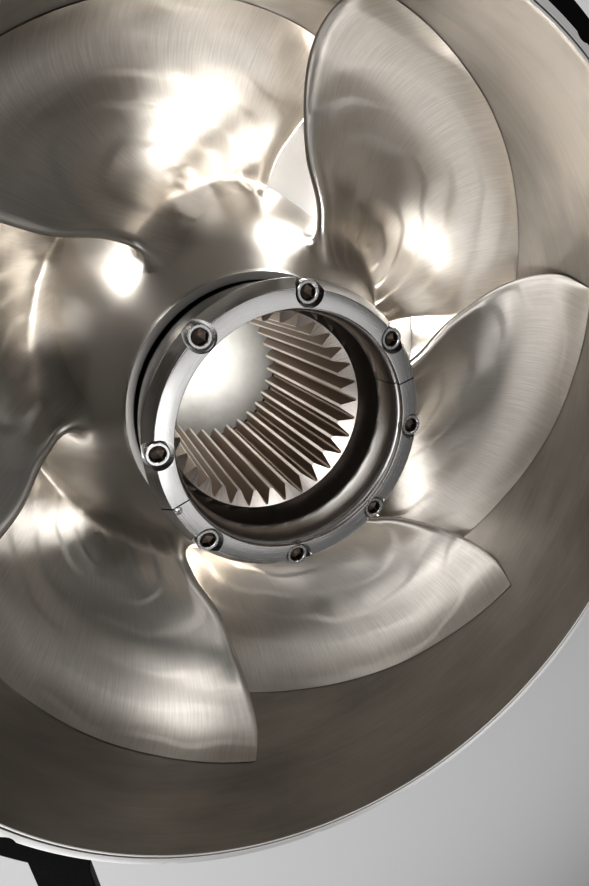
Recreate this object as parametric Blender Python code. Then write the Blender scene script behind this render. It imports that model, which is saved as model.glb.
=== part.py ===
"""Mixed-flow pump impeller with six blades, standing inlet up in its casing.

The rotor turns about the vertical axis through the origin. Sizes are in metres, heights are above
the floor, and angles are in degrees from +X, counter-clockwise as seen from the inlet.
"""

import math

import bmesh
import bpy
from mathutils import Matrix, Vector

# Casing
RIM_HEIGHT = 0.5455
RIM_RADIUS = 0.3738
CASING_BORE = ((0.000, 0.430), (0.035, 0.4135), (0.080, 0.402), (0.140, 0.394), (0.235, 0.3905),
               (0.307, 0.3918), (0.349, 0.3932),
               (0.385, 0.3928), (0.420, 0.3908), (0.4384, 0.3889), (0.477, 0.3831), (0.519, 0.3740),
               (RIM_HEIGHT, 0.3669))
CASING_OUTSIDE = ((0.000, 0.440), (0.028, 0.440), (0.045, 0.424), (0.080, 0.414), (0.140, 0.409),
                  (0.235, 0.409), (0.349, 0.409), (0.400, 0.4065), (0.440, 0.4015), (0.480, 0.392),
                  (0.533, 0.378), (0.533, 0.3725), (RIM_HEIGHT, 0.3692))
CASING_BORE_STATIONS = 18
CASING_SIDES = 72
RIM_RING_BOTTOM = 0.5333
RIM_RING_GAP = 0.0008
OUTLET_FLANGE_RADIUS = 0.466
OUTLET_FLANGE_TOP = 0.026

# Hub
HUB_BOTTOM = 0.006
HUB_OUTSIDE = ((HUB_BOTTOM, 0.308), (0.045, 0.298), (0.0867, 0.2859), (0.172, 0.2545), (0.229, 0.226),
               (0.2715, 0.198), (0.300, 0.170), (0.3115, 0.1590))
HUB_STATIONS = 12
HUB_SIDES = 72
COLLAR_TOP = 0.3142
COLLAR_RADIUS = 0.1585
COLLAR_MOUTH_RADIUS = 0.1493
COUNTERBORE_FLOOR = 0.285
BORE_RADIUS = 0.1273

# Splined sleeve, its end cover and the lining ring above it
TEETH = 31
SLEEVE_BOTTOM = 0.047
SLEEVE_TOP = 0.3296
SLEEVE_RADIUS = 0.127
TOOTH_TIP_RADIUS = 0.104
TOOTH_ROOT_RADIUS = 0.1178
TOOTH_TIP_HALF_ANGLE = 1.3
TOOTH_ROOT_HALF_ANGLE = 0.8
LEAD_IN_RADIUS = 0.1193
COVER_BOTTOM = 0.0063
COVER_TOP = 0.018
LINING_TOP = 0.3656
LINING_TOP_RADIUS = 0.1256

# Clamp ring, split in two halves
FACE_HEIGHT = 0.4173
FACE_INNER_RADIUS = 0.1264
FACE_OUTER_RADIUS = 0.1449
SHOULDER_RADIUS = 0.1548
SHOULDER_HEIGHT = 0.4029
WAIST_RADIUS = 0.1495
WAIST_HEIGHT = 0.341
FOOT_RADIUS = 0.1455
FOOT_HEIGHT = 0.318
GROOVE_RADIUS = 0.1285
BEAD_TOP = 0.4090
BEAD_BULGE = 0.0042
BEAD_STEPS = 6
SPLIT_ANGLES = (11.6, 196.8)
HALF_RING_SIDES = 36

# Socket-head screws of the clamp ring
SCREW_ANGLES = (78.0, 32.4, 349.0, 306.0, 262.9, 218.6, 173.7, 125.3)
SCREW_CIRCLE_RADIUS = 0.1415
SCREW_TOP_HEIGHT = 0.4136
SCREW_HEAD_RADIUS = 0.012
SCREW_HEAD_HEIGHT = 0.016
SCREW_HEAD_SIDES = 12
SOCKET_RADIUS = 0.0081
SOCKET_DEPTH = 0.008
POCKET_RADIUS = 0.0150
POCKET_SIDES = 20

# Blades: (height, radius, angle) along the leading edge from hub to tip, (height, angle) along the tip
BLADES = 6
BLADE_PITCH = 360.0 / BLADES
LEADING_EDGE = ((0.258, 0.207, 54.0), (0.256, 0.2161, 55.8), (0.277, 0.2477, 62.3), (0.2974, 0.2836, 70.0),
                (0.3203, 0.3329, 74.4), (0.352, 0.3676, 76.2), (0.396, 0.3875, 76.0), (0.4384, 0.3881, 73.4))
TIP_LINE = ((0.4384, 73.4), (0.4281, 66.0), (0.4132, 57.0), (0.3964, 47.0), (0.3748, 37.0), (0.3511, 27.0),
            (0.3278, 17.0), (0.3002, 7.2))
ROOT_LINE = ((0.258, 54.0), (0.205, 38.0), (0.145, 21.0), (0.0867, 4.0))
TRAILING_EDGE = ((0.0867, 0.2859, 4.0), (0.1587, 0.3139, 7.2), (0.2305, 0.3486, 7.35), (0.3002, 0.3901, 7.2))
SPAN_STATIONS = (0.0, 0.06, 0.16, 0.30, 0.46, 0.62, 0.78, 0.92, 1.0)
CHORD_STATIONS = (0.0, 0.012, 0.04, 0.10, 0.20, 0.32, 0.45, 0.58, 0.72, 0.86, 1.0)
NOSE_LENGTH = 0.06
ROOT_HALF_THICKNESS = 0.010
TIP_HALF_THICKNESS = 0.005
TAIL_THINNING = 0.6
ROOT_SINK = 0.020
TIP_CLEARANCE = 0.0008
TIP_LEAN = 0.015

# Brackets of the display stand, beside the inlet rim: first and last angle of the band, and whether it has an arm
BRACKETS = ((205.0, 224.0, True), (46.0, 65.0, False))
BRACKET_BOTTOM = 0.5175
BRACKET_TOP = 0.5325
BRACKET_INNER_RADIUS = 0.3828
BRACKET_RADIUS = 0.4020
BRACKET_ARM_WEST = -0.318
BRACKET_ARM_EAST = -0.280
BRACKET_ARM_END = -0.430

TOUCH_GAP = 0.0003

STEEL = (0.56, 0.53, 0.50)
BRIGHT_STEEL = (0.70, 0.68, 0.66)
SPLINE_STEEL = (0.42, 0.36, 0.31)
BLACK = (0.02, 0.02, 0.02)


def clear_scene():
    for item in list(bpy.data.objects):
        bpy.data.objects.remove(item, do_unlink=True)


def make_material(name, colour, roughness, metallic):
    material = bpy.data.materials.new(name)
    material.use_nodes = True
    shader = material.node_tree.nodes["Principled BSDF"]
    shader.inputs["Base Color"].default_value = (*colour, 1.0)
    shader.inputs["Roughness"].default_value = roughness
    shader.inputs["Metallic"].default_value = metallic
    return material


def polar(radius, degrees, height):
    angle = math.radians(degrees)
    return Vector((radius * math.cos(angle), radius * math.sin(angle), height))


def smooth_values(points, position):
    """Read a smooth curve through points, whose first number rises or falls, at that first number."""
    if points[0][0] > points[-1][0]:
        points = tuple(reversed(points))
    keys = [point[0] for point in points]
    position = min(max(position, keys[0]), keys[-1])
    index = max(i for i in range(len(keys) - 1) if keys[i] <= position)

    def slope(i, column):
        low = max(i - 1, 0)
        high = min(i + 1, len(points) - 1)
        return (points[high][column] - points[low][column]) / (keys[high] - keys[low])

    step = keys[index + 1] - keys[index]
    t = (position - keys[index]) / step
    values = []
    for column in range(1, len(points[0])):
        start = points[index][column]
        end = points[index + 1][column]
        values.append((2 * t**3 - 3 * t**2 + 1) * start + (t**3 - 2 * t**2 + t) * step * slope(index, column)
                      + (3 * t**2 - 2 * t**3) * end + (t**3 - t**2) * step * slope(index + 1, column))
    return values


def stations(low, high, count):
    return [low + (high - low) * i / (count - 1) for i in range(count)]


def sampled(points, count):
    """Points of a smooth outline as (radius, height) pairs at even heights."""
    return [(smooth_values(points, height)[0], height) for height in stations(points[0][0], points[-1][0], count)]


CASING_BORE_OUTLINE = sampled(CASING_BORE, CASING_BORE_STATIONS)
HUB_OUTLINE = sampled(HUB_OUTSIDE, HUB_STATIONS)


def outline_radius(outline, height):
    """Radius of a turned outline at a height, along its straight facets."""
    for (low_radius, low), (high_radius, high) in zip(outline, outline[1:]):
        if low <= height <= high:
            return low_radius + (high_radius - low_radius) * (height - low) / (high - low)
    return outline[0][0] if height < outline[0][1] else outline[-1][0]


def close_mesh(name, bm):
    bmesh.ops.recalc_face_normals(bm, faces=bm.faces)
    mesh = bpy.data.meshes.new(name)
    bm.to_mesh(mesh)
    bm.free()
    mesh.shade_smooth()
    mesh.set_sharp_from_angle(angle=math.radians(35))
    return mesh


def add_object(name, mesh, material=None, location=(0, 0, 0)):
    item = bpy.data.objects.new(name, mesh)
    item.location = location
    bpy.context.scene.collection.objects.link(item)
    if material:
        mesh.materials.append(material)
    return item


def hide_cutter(cutter):
    cutter.hide_render = True
    cutter.display_type = "WIRE"


def cut(item, cutter):
    hide_cutter(cutter)
    boolean = item.modifiers.new("cut_by_" + cutter.name, "BOOLEAN")
    boolean.operation = "DIFFERENCE"
    boolean.solver = "EXACT"
    boolean.object = cutter


def turned(name, outline, sides):
    """A closed outline of (radius, height) pairs turned all the way round the axis."""
    bm = bmesh.new()
    rings = []
    for radius, height in outline:
        rings.append([bm.verts.new(polar(radius, 360.0 * i / sides, height)) for i in range(sides)])
    for ring, following in zip(rings, rings[1:] + rings[:1]):
        for i in range(sides):
            j = (i + 1) % sides
            bm.faces.new((ring[i], ring[j], following[j], following[i]))
    return close_mesh(name, bm)


def turned_part(name, outline, start, end, sides):
    """A closed outline turned from one angle to another, with flat ends."""
    bm = bmesh.new()
    sections = []
    for angle in stations(start, end, sides + 1):
        sections.append([bm.verts.new(polar(radius, angle, height)) for radius, height in outline])
    count = len(outline)
    for section, following in zip(sections, sections[1:]):
        for i in range(count):
            j = (i + 1) % count
            bm.faces.new((section[i], section[j], following[j], following[i]))
    bm.faces.new(sections[0])
    bm.faces.new(sections[-1])
    return close_mesh(name, bm)


def disc(name, radius, bottom, top, sides):
    bm = bmesh.new()
    bmesh.ops.create_cone(bm, cap_ends=True, segments=sides, radius1=radius, radius2=radius,
                          depth=top - bottom, matrix=Matrix.Translation((0, 0, (bottom + top) / 2)))
    return close_mesh(name, bm)


def ring_outline(inner, outer, bottom, top):
    return [(inner, bottom), (outer, bottom), (outer, top), (inner, top)]


def build_casing(steel):
    outside = [(radius, height) for height, radius in CASING_OUTSIDE]
    outline = CASING_BORE_OUTLINE + list(reversed(outside))
    add_object("casing_shell", turned("casing_shell", outline, CASING_SIDES), steel)
    (low, low_radius), (high, high_radius) = CASING_OUTSIDE[-2:]
    rim = [(low_radius + RIM_RING_GAP, RIM_RING_BOTTOM), (RIM_RADIUS, RIM_RING_BOTTOM), (RIM_RADIUS, high),
           (high_radius + RIM_RING_GAP, high)]
    add_object("rim_ring", turned("rim_ring", rim, CASING_SIDES), steel)
    flange = ring_outline(CASING_OUTSIDE[0][1] + TOUCH_GAP, OUTLET_FLANGE_RADIUS, 0.0, OUTLET_FLANGE_TOP)
    add_object("outlet_flange", turned("outlet_flange", flange, CASING_SIDES), steel)


def build_brackets(black):
    for number, (first, last, has_arm) in enumerate(BRACKETS, 1):
        angles = stations(first, last, 6)
        corners = [polar(BRACKET_INNER_RADIUS, angle, 0) for angle in angles]
        outer = [polar(BRACKET_RADIUS, angle, 0) for angle in reversed(angles)]
        if has_arm:
            east = Vector((BRACKET_ARM_EAST, -math.sqrt(BRACKET_RADIUS**2 - BRACKET_ARM_EAST**2), 0))
            west = Vector((BRACKET_ARM_WEST, -math.sqrt(BRACKET_RADIUS**2 - BRACKET_ARM_WEST**2), 0))
            outer = [corner for corner in outer if corner.x < BRACKET_ARM_WEST - 0.004]
            outer = [east, Vector((BRACKET_ARM_EAST, BRACKET_ARM_END, 0)),
                     Vector((BRACKET_ARM_WEST, BRACKET_ARM_END, 0)), west] + outer
        bm = bmesh.new()
        lift = Vector((0, 0, BRACKET_BOTTOM))
        bottom = bm.faces.new([bm.verts.new(corner + lift) for corner in corners + outer])
        raised = bmesh.ops.extrude_face_region(bm, geom=[bottom])["geom"]
        lift.z = BRACKET_TOP - BRACKET_BOTTOM
        bmesh.ops.translate(bm, vec=lift, verts=[v for v in raised if isinstance(v, bmesh.types.BMVert)])
        add_object(f"stand_bracket_{number}", close_mesh("stand_bracket", bm), black)


def build_hub(steel):
    outline = [(BORE_RADIUS, HUB_BOTTOM)] + HUB_OUTLINE
    outline += [(COLLAR_RADIUS, COLLAR_TOP), (COLLAR_MOUTH_RADIUS, COLLAR_TOP),
                (COLLAR_MOUTH_RADIUS, COUNTERBORE_FLOOR), (BORE_RADIUS, COUNTERBORE_FLOOR)]
    add_object("hub", turned("hub", outline, HUB_SIDES), steel)


def build_sleeve(spline_steel, black, bright):
    pitch = 360.0 / TEETH
    loop = []
    for tooth in range(TEETH):
        middle = tooth * pitch
        loop += [(TOOTH_TIP_RADIUS, middle - TOOTH_TIP_HALF_ANGLE), (TOOTH_TIP_RADIUS, middle + TOOTH_TIP_HALF_ANGLE),
                 (TOOTH_ROOT_RADIUS, middle + pitch / 2 - TOOTH_ROOT_HALF_ANGLE),
                 (TOOTH_ROOT_RADIUS, middle + pitch / 2 + TOOTH_ROOT_HALF_ANGLE)]
    rings = ([(SLEEVE_RADIUS, angle, SLEEVE_BOTTOM) for _, angle in loop],
             [(SLEEVE_RADIUS, angle, SLEEVE_TOP) for _, angle in loop],
             [(LEAD_IN_RADIUS, angle, SLEEVE_TOP) for _, angle in loop],
             [(radius, angle, SLEEVE_TOP - (LEAD_IN_RADIUS - radius)) for radius, angle in loop],
             [(radius, angle, SLEEVE_BOTTOM) for radius, angle in loop])
    bm = bmesh.new()
    rings = [[bm.verts.new(polar(*place)) for place in ring] for ring in rings]
    for ring, following in zip(rings, rings[1:] + rings[:1]):
        for i in range(len(loop)):
            j = (i + 1) % len(loop)
            bm.faces.new((ring[i], ring[j], following[j], following[i]))
    add_object("splined_sleeve", close_mesh("splined_sleeve", bm), spline_steel)
    add_object("bore_end_cover", disc("bore_end_cover", SLEEVE_RADIUS, COVER_BOTTOM, COVER_TOP, HUB_SIDES), bright)
    lining = [(LEAD_IN_RADIUS, SLEEVE_TOP + TOUCH_GAP), (SLEEVE_RADIUS, SLEEVE_TOP + TOUCH_GAP),
              (SLEEVE_RADIUS, LINING_TOP - TOUCH_GAP), (LINING_TOP_RADIUS, LINING_TOP - TOUCH_GAP)]
    add_object("lining_ring", turned("lining_ring", lining, HUB_SIDES), black)


def clamp_ring_outline():
    bead = []
    for step in stations(0.0, math.pi, BEAD_STEPS + 1):
        height = LINING_TOP + (BEAD_TOP - LINING_TOP) * (1 + math.cos(step)) / 2
        bead.append((FACE_INNER_RADIUS - BEAD_BULGE * math.sin(step), height))
    foot = COUNTERBORE_FLOOR + TOUCH_GAP
    return [(FOOT_RADIUS, foot), (FOOT_RADIUS, FOOT_HEIGHT), (WAIST_RADIUS, WAIST_HEIGHT),
            (SHOULDER_RADIUS, SHOULDER_HEIGHT), (FACE_OUTER_RADIUS, FACE_HEIGHT), (FACE_INNER_RADIUS, FACE_HEIGHT),
            (FACE_INNER_RADIUS, BEAD_TOP + 0.0025), (GROOVE_RADIUS, BEAD_TOP + 0.0015)] \
        + bead + [(BORE_RADIUS, LINING_TOP), (BORE_RADIUS, foot)]


def screw_place(angle):
    """Middle of the top of a screw head."""
    return polar(SCREW_CIRCLE_RADIUS, angle, SCREW_TOP_HEIGHT)


def screw_mesh():
    bm = bmesh.new()
    apothem = SOCKET_RADIUS * math.cos(math.radians(30))

    def loop(radius, height, hexagonal):
        verts = []
        for i in range(SCREW_HEAD_SIDES):
            degrees = 360.0 * i / SCREW_HEAD_SIDES
            reach = apothem / math.cos(math.radians(degrees % 60 - 30)) if hexagonal else radius
            verts.append(bm.verts.new(polar(reach, degrees, height)))
        return verts

    loops = [loop(SCREW_HEAD_RADIUS, -SCREW_HEAD_HEIGHT, False), loop(SCREW_HEAD_RADIUS, 0, False),
             loop(0, 0, True), loop(0, -SOCKET_DEPTH, True)]
    for ring, following in zip(loops, loops[1:]):
        for i in range(SCREW_HEAD_SIDES):
            j = (i + 1) % SCREW_HEAD_SIDES
            bm.faces.new((ring[i], ring[j], following[j], following[i]))
    bm.faces.new(loops[0])
    bm.faces.new(loops[-1])
    return close_mesh("clamp_screw", bm)


def build_clamp_ring(bright, screw_steel):
    outline = clamp_ring_outline()
    halves = []
    for number in (1, 2):
        start = SPLIT_ANGLES[number - 1]
        end = SPLIT_ANGLES[number % 2] + 360.0 * (number - 1)
        split = math.degrees(TOUCH_GAP / FACE_INNER_RADIUS)
        mesh = turned_part("clamp_ring_half", outline, start + split, end - split, HALF_RING_SIDES)
        halves.append(add_object(f"clamp_ring_half_{number}", mesh, bright))
    head = screw_mesh()
    head.materials.append(screw_steel)
    pocket_depth = SCREW_HEAD_HEIGHT + TOUCH_GAP
    for number, angle in enumerate(SCREW_ANGLES, 1):
        add_object(f"clamp_screw_{number}", head, location=screw_place(angle))
        bm = bmesh.new()
        bmesh.ops.create_cone(bm, cap_ends=True, segments=POCKET_SIDES, radius1=POCKET_RADIUS, radius2=POCKET_RADIUS,
                              depth=2 * pocket_depth)
        cutter = add_object(f"pocket_cutter_{number}", close_mesh("pocket_cutter", bm), location=screw_place(angle))
        for half in halves:
            between = SPLIT_ANGLES[0] < angle < SPLIT_ANGLES[1]
            if between == (half is halves[0]):
                cut(half, cutter)


def curve_point(points, position):
    """Point at a share of a curve's length, on a smooth curve through points of (height, radius, angle)."""
    places = [polar(radius, angle, height) for height, radius, angle in points]
    lengths = [0.0]
    for place, following in zip(places, places[1:]):
        lengths.append(lengths[-1] + (following - place).length)
    keyed = [(length / lengths[-1], *point) for length, point in zip(lengths, points)]
    return Vector(smooth_values(tuple(keyed), position))


def blade_edges():
    tip = tuple((height, outline_radius(CASING_BORE_OUTLINE, height) - TIP_CLEARANCE, angle)
                for height, angle in TIP_LINE)
    root = tuple((height, outline_radius(HUB_OUTLINE, height), angle) for height, angle in ROOT_LINE)
    leading = (root[0],) + LEADING_EDGE[1:-1] + (tip[0],)
    trailing = (root[-1],) + TRAILING_EDGE[1:-1] + (tip[-1],)
    return leading, trailing, root, tip


def blade_middle(span, chord, edges):
    """Mid-surface of the blade, blended between its four edges, as (height, radius, angle)."""
    leading, trailing, root, tip = edges
    ruled_span = curve_point(root, chord) * (1 - span) + curve_point(tip, chord) * span
    ruled_chord = curve_point(leading, span) * (1 - chord) + curve_point(trailing, span) * chord
    corners = (Vector(root[0]) * (1 - span) + Vector(tip[0]) * span) * (1 - chord)
    corners += (Vector(root[-1]) * (1 - span) + Vector(tip[-1]) * span) * chord
    return ruled_span + ruled_chord - corners


def blade_place(span, chord, edges):
    height, radius, angle = blade_middle(span, chord, edges)
    return polar(radius, angle, height)


def half_thickness(span, chord):
    full = ROOT_HALF_THICKNESS + (TIP_HALF_THICKNESS - ROOT_HALF_THICKNESS) * span
    nose = 1 - min(chord / NOSE_LENGTH, 1.0)
    return full * math.sqrt(1 - nose * nose) * (1 - TAIL_THINNING * chord)


def blade_mesh():
    edges = blade_edges()
    step = 0.01
    bm = bmesh.new()
    rows = []
    for span in SPAN_STATIONS:
        front = []
        back = []
        for chord in CHORD_STATIONS:
            low_span = min(max(span, step), 1 - step)
            low_chord = min(max(chord, step), 1 - step)
            along = blade_place(low_span, low_chord + step, edges) - blade_place(low_span, low_chord - step, edges)
            across = blade_place(low_span + step, low_chord, edges) - blade_place(low_span - step, low_chord, edges)
            normal = along.cross(across).normalized()
            middle = blade_place(span, chord, edges)
            thickness = half_thickness(span, chord)
            front.append(middle + normal * thickness)
            back.append(middle - normal * thickness)
        loop = front + list(reversed(back[1:]))
        for place in loop:
            reach = outline_radius(CASING_BORE_OUTLINE, place.z) - TIP_CLEARANCE - (1 - span) * TIP_LEAN
            radius = math.hypot(place.x, place.y)
            if span == SPAN_STATIONS[-1] or radius > reach:
                place.x *= reach / radius
                place.y *= reach / radius
        rows.append(loop)
    sunk = []
    for place in rows[0]:
        scale = 1 - ROOT_SINK / math.hypot(place.x, place.y)
        sunk.append(Vector((place.x * scale, place.y * scale, place.z)))
    rows.insert(0, sunk)
    rows = [[bm.verts.new(place) for place in row] for row in rows]
    count = len(rows[0])
    for row, following in zip(rows, rows[1:]):
        for i in range(count):
            j = (i + 1) % count
            bm.faces.new((row[i], row[j], following[j], following[i]))
    last = len(CHORD_STATIONS) - 1
    for row in (rows[0], rows[-1]):
        bm.faces.new((row[0], row[1], row[-1]))
        for i in range(1, last):
            bm.faces.new((row[i], row[i + 1], row[count - i - 1], row[count - i]))
    bmesh.ops.triangulate(bm, faces=bm.faces)
    return close_mesh("blade", bm)


def build_blades(steel):
    skin = [(radius + TOUCH_GAP, height) for radius, height in HUB_OUTLINE]
    core = [(COLLAR_RADIUS / 2, skin[-1][1]), (COLLAR_RADIUS / 2, skin[0][1])]
    cutter = add_object("hub_cutter", turned("hub_cutter", skin + core, HUB_SIDES))
    blade = blade_mesh()
    blade.materials.append(steel)
    for number in range(1, BLADES + 1):
        item = add_object(f"blade_{number}", blade)
        item.rotation_euler.z = math.radians(BLADE_PITCH * (2 - number))
        cut(item, cutter)


def build():
    clear_scene()
    steel = make_material("satin_steel", STEEL, 0.35, 1.0)
    bright = make_material("bright_steel", BRIGHT_STEEL, 0.25, 1.0)
    spline_steel = make_material("spline_steel", SPLINE_STEEL, 0.35, 1.0)
    black = make_material("black_steel", BLACK, 0.5, 0.0)
    build_casing(steel)
    build_brackets(black)
    build_hub(steel)
    build_blades(steel)
    build_sleeve(spline_steel, black, bright)
    build_clamp_ring(bright, spline_steel)


build()
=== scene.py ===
"""Finished surfaces, stage and camera for a mixed-flow pump impeller standing inlet up in its casing.

Sizes are in metres in the part's own frame. The rotor turns about the vertical axis through the
origin, heights are above the floor, and angles are in degrees from +X, counter-clockwise from above.
"""

import math

import bmesh
import bpy
import numpy as np
from bpy.props import FloatProperty, FloatVectorProperty, IntProperty, PointerProperty
from mathutils import Matrix, Vector


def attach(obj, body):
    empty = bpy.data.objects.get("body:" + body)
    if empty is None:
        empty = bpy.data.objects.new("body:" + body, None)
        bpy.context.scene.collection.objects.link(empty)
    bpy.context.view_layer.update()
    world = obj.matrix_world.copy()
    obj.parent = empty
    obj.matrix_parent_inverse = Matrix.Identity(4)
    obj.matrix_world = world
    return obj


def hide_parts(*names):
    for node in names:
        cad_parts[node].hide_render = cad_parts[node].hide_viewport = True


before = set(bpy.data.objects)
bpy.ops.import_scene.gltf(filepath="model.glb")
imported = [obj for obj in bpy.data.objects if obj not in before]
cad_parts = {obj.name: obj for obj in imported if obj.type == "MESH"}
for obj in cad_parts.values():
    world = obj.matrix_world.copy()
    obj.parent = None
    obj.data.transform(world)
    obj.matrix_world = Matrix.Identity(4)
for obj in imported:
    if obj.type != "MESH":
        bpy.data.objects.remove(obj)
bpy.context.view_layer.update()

bl_info = {
    "name": "Pump Impeller Dressing",
    "version": (1, 0, 0),
    "blender": (4, 5, 0),
    "location": "3D View > Sidebar > Impeller",
    "description": "Builds the finished surfaces of a mixed-flow pump impeller in its casing",
    "category": "Object",
}

# Casing
RIM_HEIGHT = 0.5455
RIM_RADIUS = 0.3760
RIM_INNER_RADIUS = 0.3669
CASING_BORE = ((0.000, 0.430), (0.035, 0.4135), (0.080, 0.402), (0.140, 0.394), (0.235, 0.3905),
               (0.307, 0.3918), (0.349, 0.3932), (0.385, 0.3928), (0.420, 0.3908), (0.4384, 0.3889),
               (0.477, 0.3831), (0.519, 0.3740), (RIM_HEIGHT, RIM_INNER_RADIUS))
NECK_BOTTOM = 0.533
CASING_OUTSIDE = ((0.000, 0.440), (0.028, 0.440), (0.045, 0.424), (0.080, 0.414), (0.140, 0.409),
                  (0.235, 0.409), (0.349, 0.409), (0.400, 0.4065), (0.440, 0.4015), (0.480, 0.392),
                  (NECK_BOTTOM, 0.378))
NECK_BOTTOM_RADIUS = 0.3725
NECK_TOP_RADIUS = 0.3688
NECK_INNER_BOTTOM = 0.53
RIM_RING_BOTTOM = 0.5333
RIM_RING_GAP = 0.0012
RIM_EDGE = 0.0006
OUTLET_FLANGE_RADIUS = 0.466
OUTLET_FLANGE_TOP = 0.026
FLANGE_GAP = 0.0003

# Hub
HUB_BOTTOM = 0.006
HUB_OUTSIDE = ((HUB_BOTTOM, 0.308), (0.045, 0.298), (0.0867, 0.2859), (0.172, 0.2545), (0.229, 0.226),
               (0.2715, 0.198), (0.300, 0.170), (0.3115, 0.1590))
COLLAR_TOP = 0.3142
COLLAR_RADIUS = 0.1585
COLLAR_MOUTH_RADIUS = 0.1493
COUNTERBORE_FLOOR = 0.285
BORE_RADIUS = 0.1273

# Gap between neighbouring pieces of the rotor
PIECE_GAP = 0.0003

# Splined sleeve, its end cover and the lining ring above it
TEETH = 31
SLEEVE_BOTTOM = 0.047
SLEEVE_TOP = 0.3296
SLEEVE_RADIUS = 0.127
TOOTH_TIP_RADIUS = 0.104
TOOTH_ROOT_RADIUS = 0.1178
TOOTH_TIP_HALF_ANGLE = 1.3
TOOTH_ROOT_HALF_ANGLE = 0.8
TOOTH_EDGE = 0.0004
TOOTH_EDGE_ANGLE = 0.25
LEAD_IN_RADIUS = 0.1193
COVER_BOTTOM = 0.0063
COVER_TOP = 0.018
COVER_CENTRE_RADIUS = 0.0005
LINING_TOP = 0.3656
LINING_TOP_RADIUS = 0.1256

# Clamp ring
FACE_HEIGHT = 0.4173
FACE_INNER_RADIUS = 0.1264
FACE_OUTER_RADIUS = 0.1449
SHOULDER_RADIUS = 0.1548
SHOULDER_HEIGHT = 0.4029
WAIST_RADIUS = 0.1495
WAIST_HEIGHT = 0.341
FOOT_RADIUS = 0.1455
FOOT_HEIGHT = 0.318
GROOVE_RADIUS = 0.1285
BEAD_TOP = 0.4090
GROOVE_BOTTOM = BEAD_TOP + 0.0015
GROOVE_TOP = BEAD_TOP + 0.0025
SPLIT_ANGLES = (11.6, 196.8)
SPLIT_HALF_GAP = 0.0006
SCREW_ANGLES = (78.0, 32.4, 349.0, 306.0, 262.9, 218.6, 173.7, 125.3)
SCREW_CIRCLE_RADIUS = 0.1415
SCREW_TOP_HEIGHT = 0.4136
SCREW_HEAD_HEIGHT = 0.016
KNURL_DEPTH = 0.00035
SCREW_TURN = 17.0
PIN_ANGLE = 198.4
PIN_CIRCLE_RADIUS = 0.1408
PIN_RADIUS = 0.0038
PIN_HOLE_DEPTH = 0.0022
PIN_HOLE_GAP = 0.0005
PIN_DOME_BASE = -0.0012
PIN_DOME_RISE = 0.0010
PIN_CENTRE_RADIUS = 0.0002

# Blades: (height, angle) along the tip and the root, from the leading edge to the trailing edge, and
# (height, radius, angle) between root and tip along those two edges
BLADES = 6
BLADE_PITCH = 360.0 / BLADES
LEADING_EDGE = ((0.256, 0.2161, 55.8), (0.277, 0.2477, 62.3), (0.2974, 0.2836, 70.0), (0.3203, 0.3329, 74.4),
                (0.352, 0.3676, 76.2), (0.396, 0.3875, 76.0))
TRAILING_EDGE = ((0.1587, 0.3139, 7.2), (0.2305, 0.3486, 7.35))
TIP_LINE = ((0.4384, 73.4), (0.4281, 66.0), (0.4132, 57.0), (0.3964, 47.0), (0.3748, 37.0), (0.3511, 27.0),
            (0.3278, 17.0), (0.3002, 7.2))
ROOT_LINE = ((0.258, 54.0), (0.205, 38.0), (0.145, 21.0), (0.0867, 4.0))
TIP_CLEARANCE = 0.0008
FILLET_SUNK = 0.003
FILLET_HANDLE = 0.6

# Brackets of the display stand: first and last angle of the band, and whether it has an arm
BRACKETS = ((205.0, 224.0, True), (46.0, 65.0, False))
BRACKET_BOTTOM = 0.5175
BRACKET_TOP = 0.5325
BRACKET_INNER_RADIUS = 0.3828
BRACKET_RADIUS = 0.4020
BRACKET_ARM_WEST = -0.318
BRACKET_ARM_EAST = -0.280
BRACKET_ARM_END = -0.430

# Soft panel lights in the room, facing the rotor: name, azimuth, elevation, width, height and brightness
SOFT_PANELS = (("ceiling_south_west", 225.0, 72.0, 1.6, 1.1, 1.3),
               ("ceiling_south_east", 315.0, 72.0, 1.6, 1.1, 0.6),
               ("north_east_side", 60.0, 26.0, 1.25, 0.92, 2.8),
               ("north_west_side", 120.0, 26.0, 1.25, 0.92, 3.5),
               ("west_north_west_side", 150.0, 26.0, 1.25, 0.92, 4.0),
               ("west_side", 180.0, 26.0, 1.25, 0.92, 1.5),
               ("south_west_side", 240.0, 26.0, 1.25, 0.92, 2.5),
               ("south_east_side", 300.0, 26.0, 1.25, 0.92, 1.0))
SOFT_PANEL_DISTANCE = 2.6
SOFT_PANEL_AIM = (0.0, 0.0, 0.35)

# Lamps in the channels between the blades: radius, azimuth, height, size and brightness
CHANNEL_LAMPS = ((0.370, 40.0, 0.12, 0.08, 4.0),
                 (0.375, 55.0, 0.20, 0.08, 3.0),
                 (0.372, 118.0, 0.24, 0.12, 6.0),
                 (0.372, 178.0, 0.24, 0.12, 4.0),
                 (0.372, 238.0, 0.24, 0.12, 10.0))
CHANNEL_LAMP_RISE = 0.12

# Lamps beside the collar, facing outward: azimuth and brightness
COLLAR_LAMPS = ((0.0, 20.0), (40.0, 28.0))
COLLAR_LAMP_RADIUS = 0.168
COLLAR_LAMP_SIZE = (0.055, 0.03)

# Panels in the outlet, facing up: azimuth and brightness
OUTLET_PANELS = ((10.0, 10.0), (70.0, 6.0), (250.0, 20.0), (340.0, 2.5))
OUTLET_PANEL_RADIUS = 0.37
OUTLET_PANEL_SIZE = (0.18, 0.11)
OUTLET_PANEL_HEIGHT = 0.004

# Small round lamps low under the rotor, one for each channel
UNDER_LAMP_RADIUS = 0.36
UNDER_LAMP_HEIGHT = 0.07
UNDER_LAMP_FIRST_ANGLE = 25.0

# Lamps in the splined bore: height and size
BORE_LAMP = (0.10, 0.13)
BORE_RISE_LAMP = (0.20, 0.10)

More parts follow.
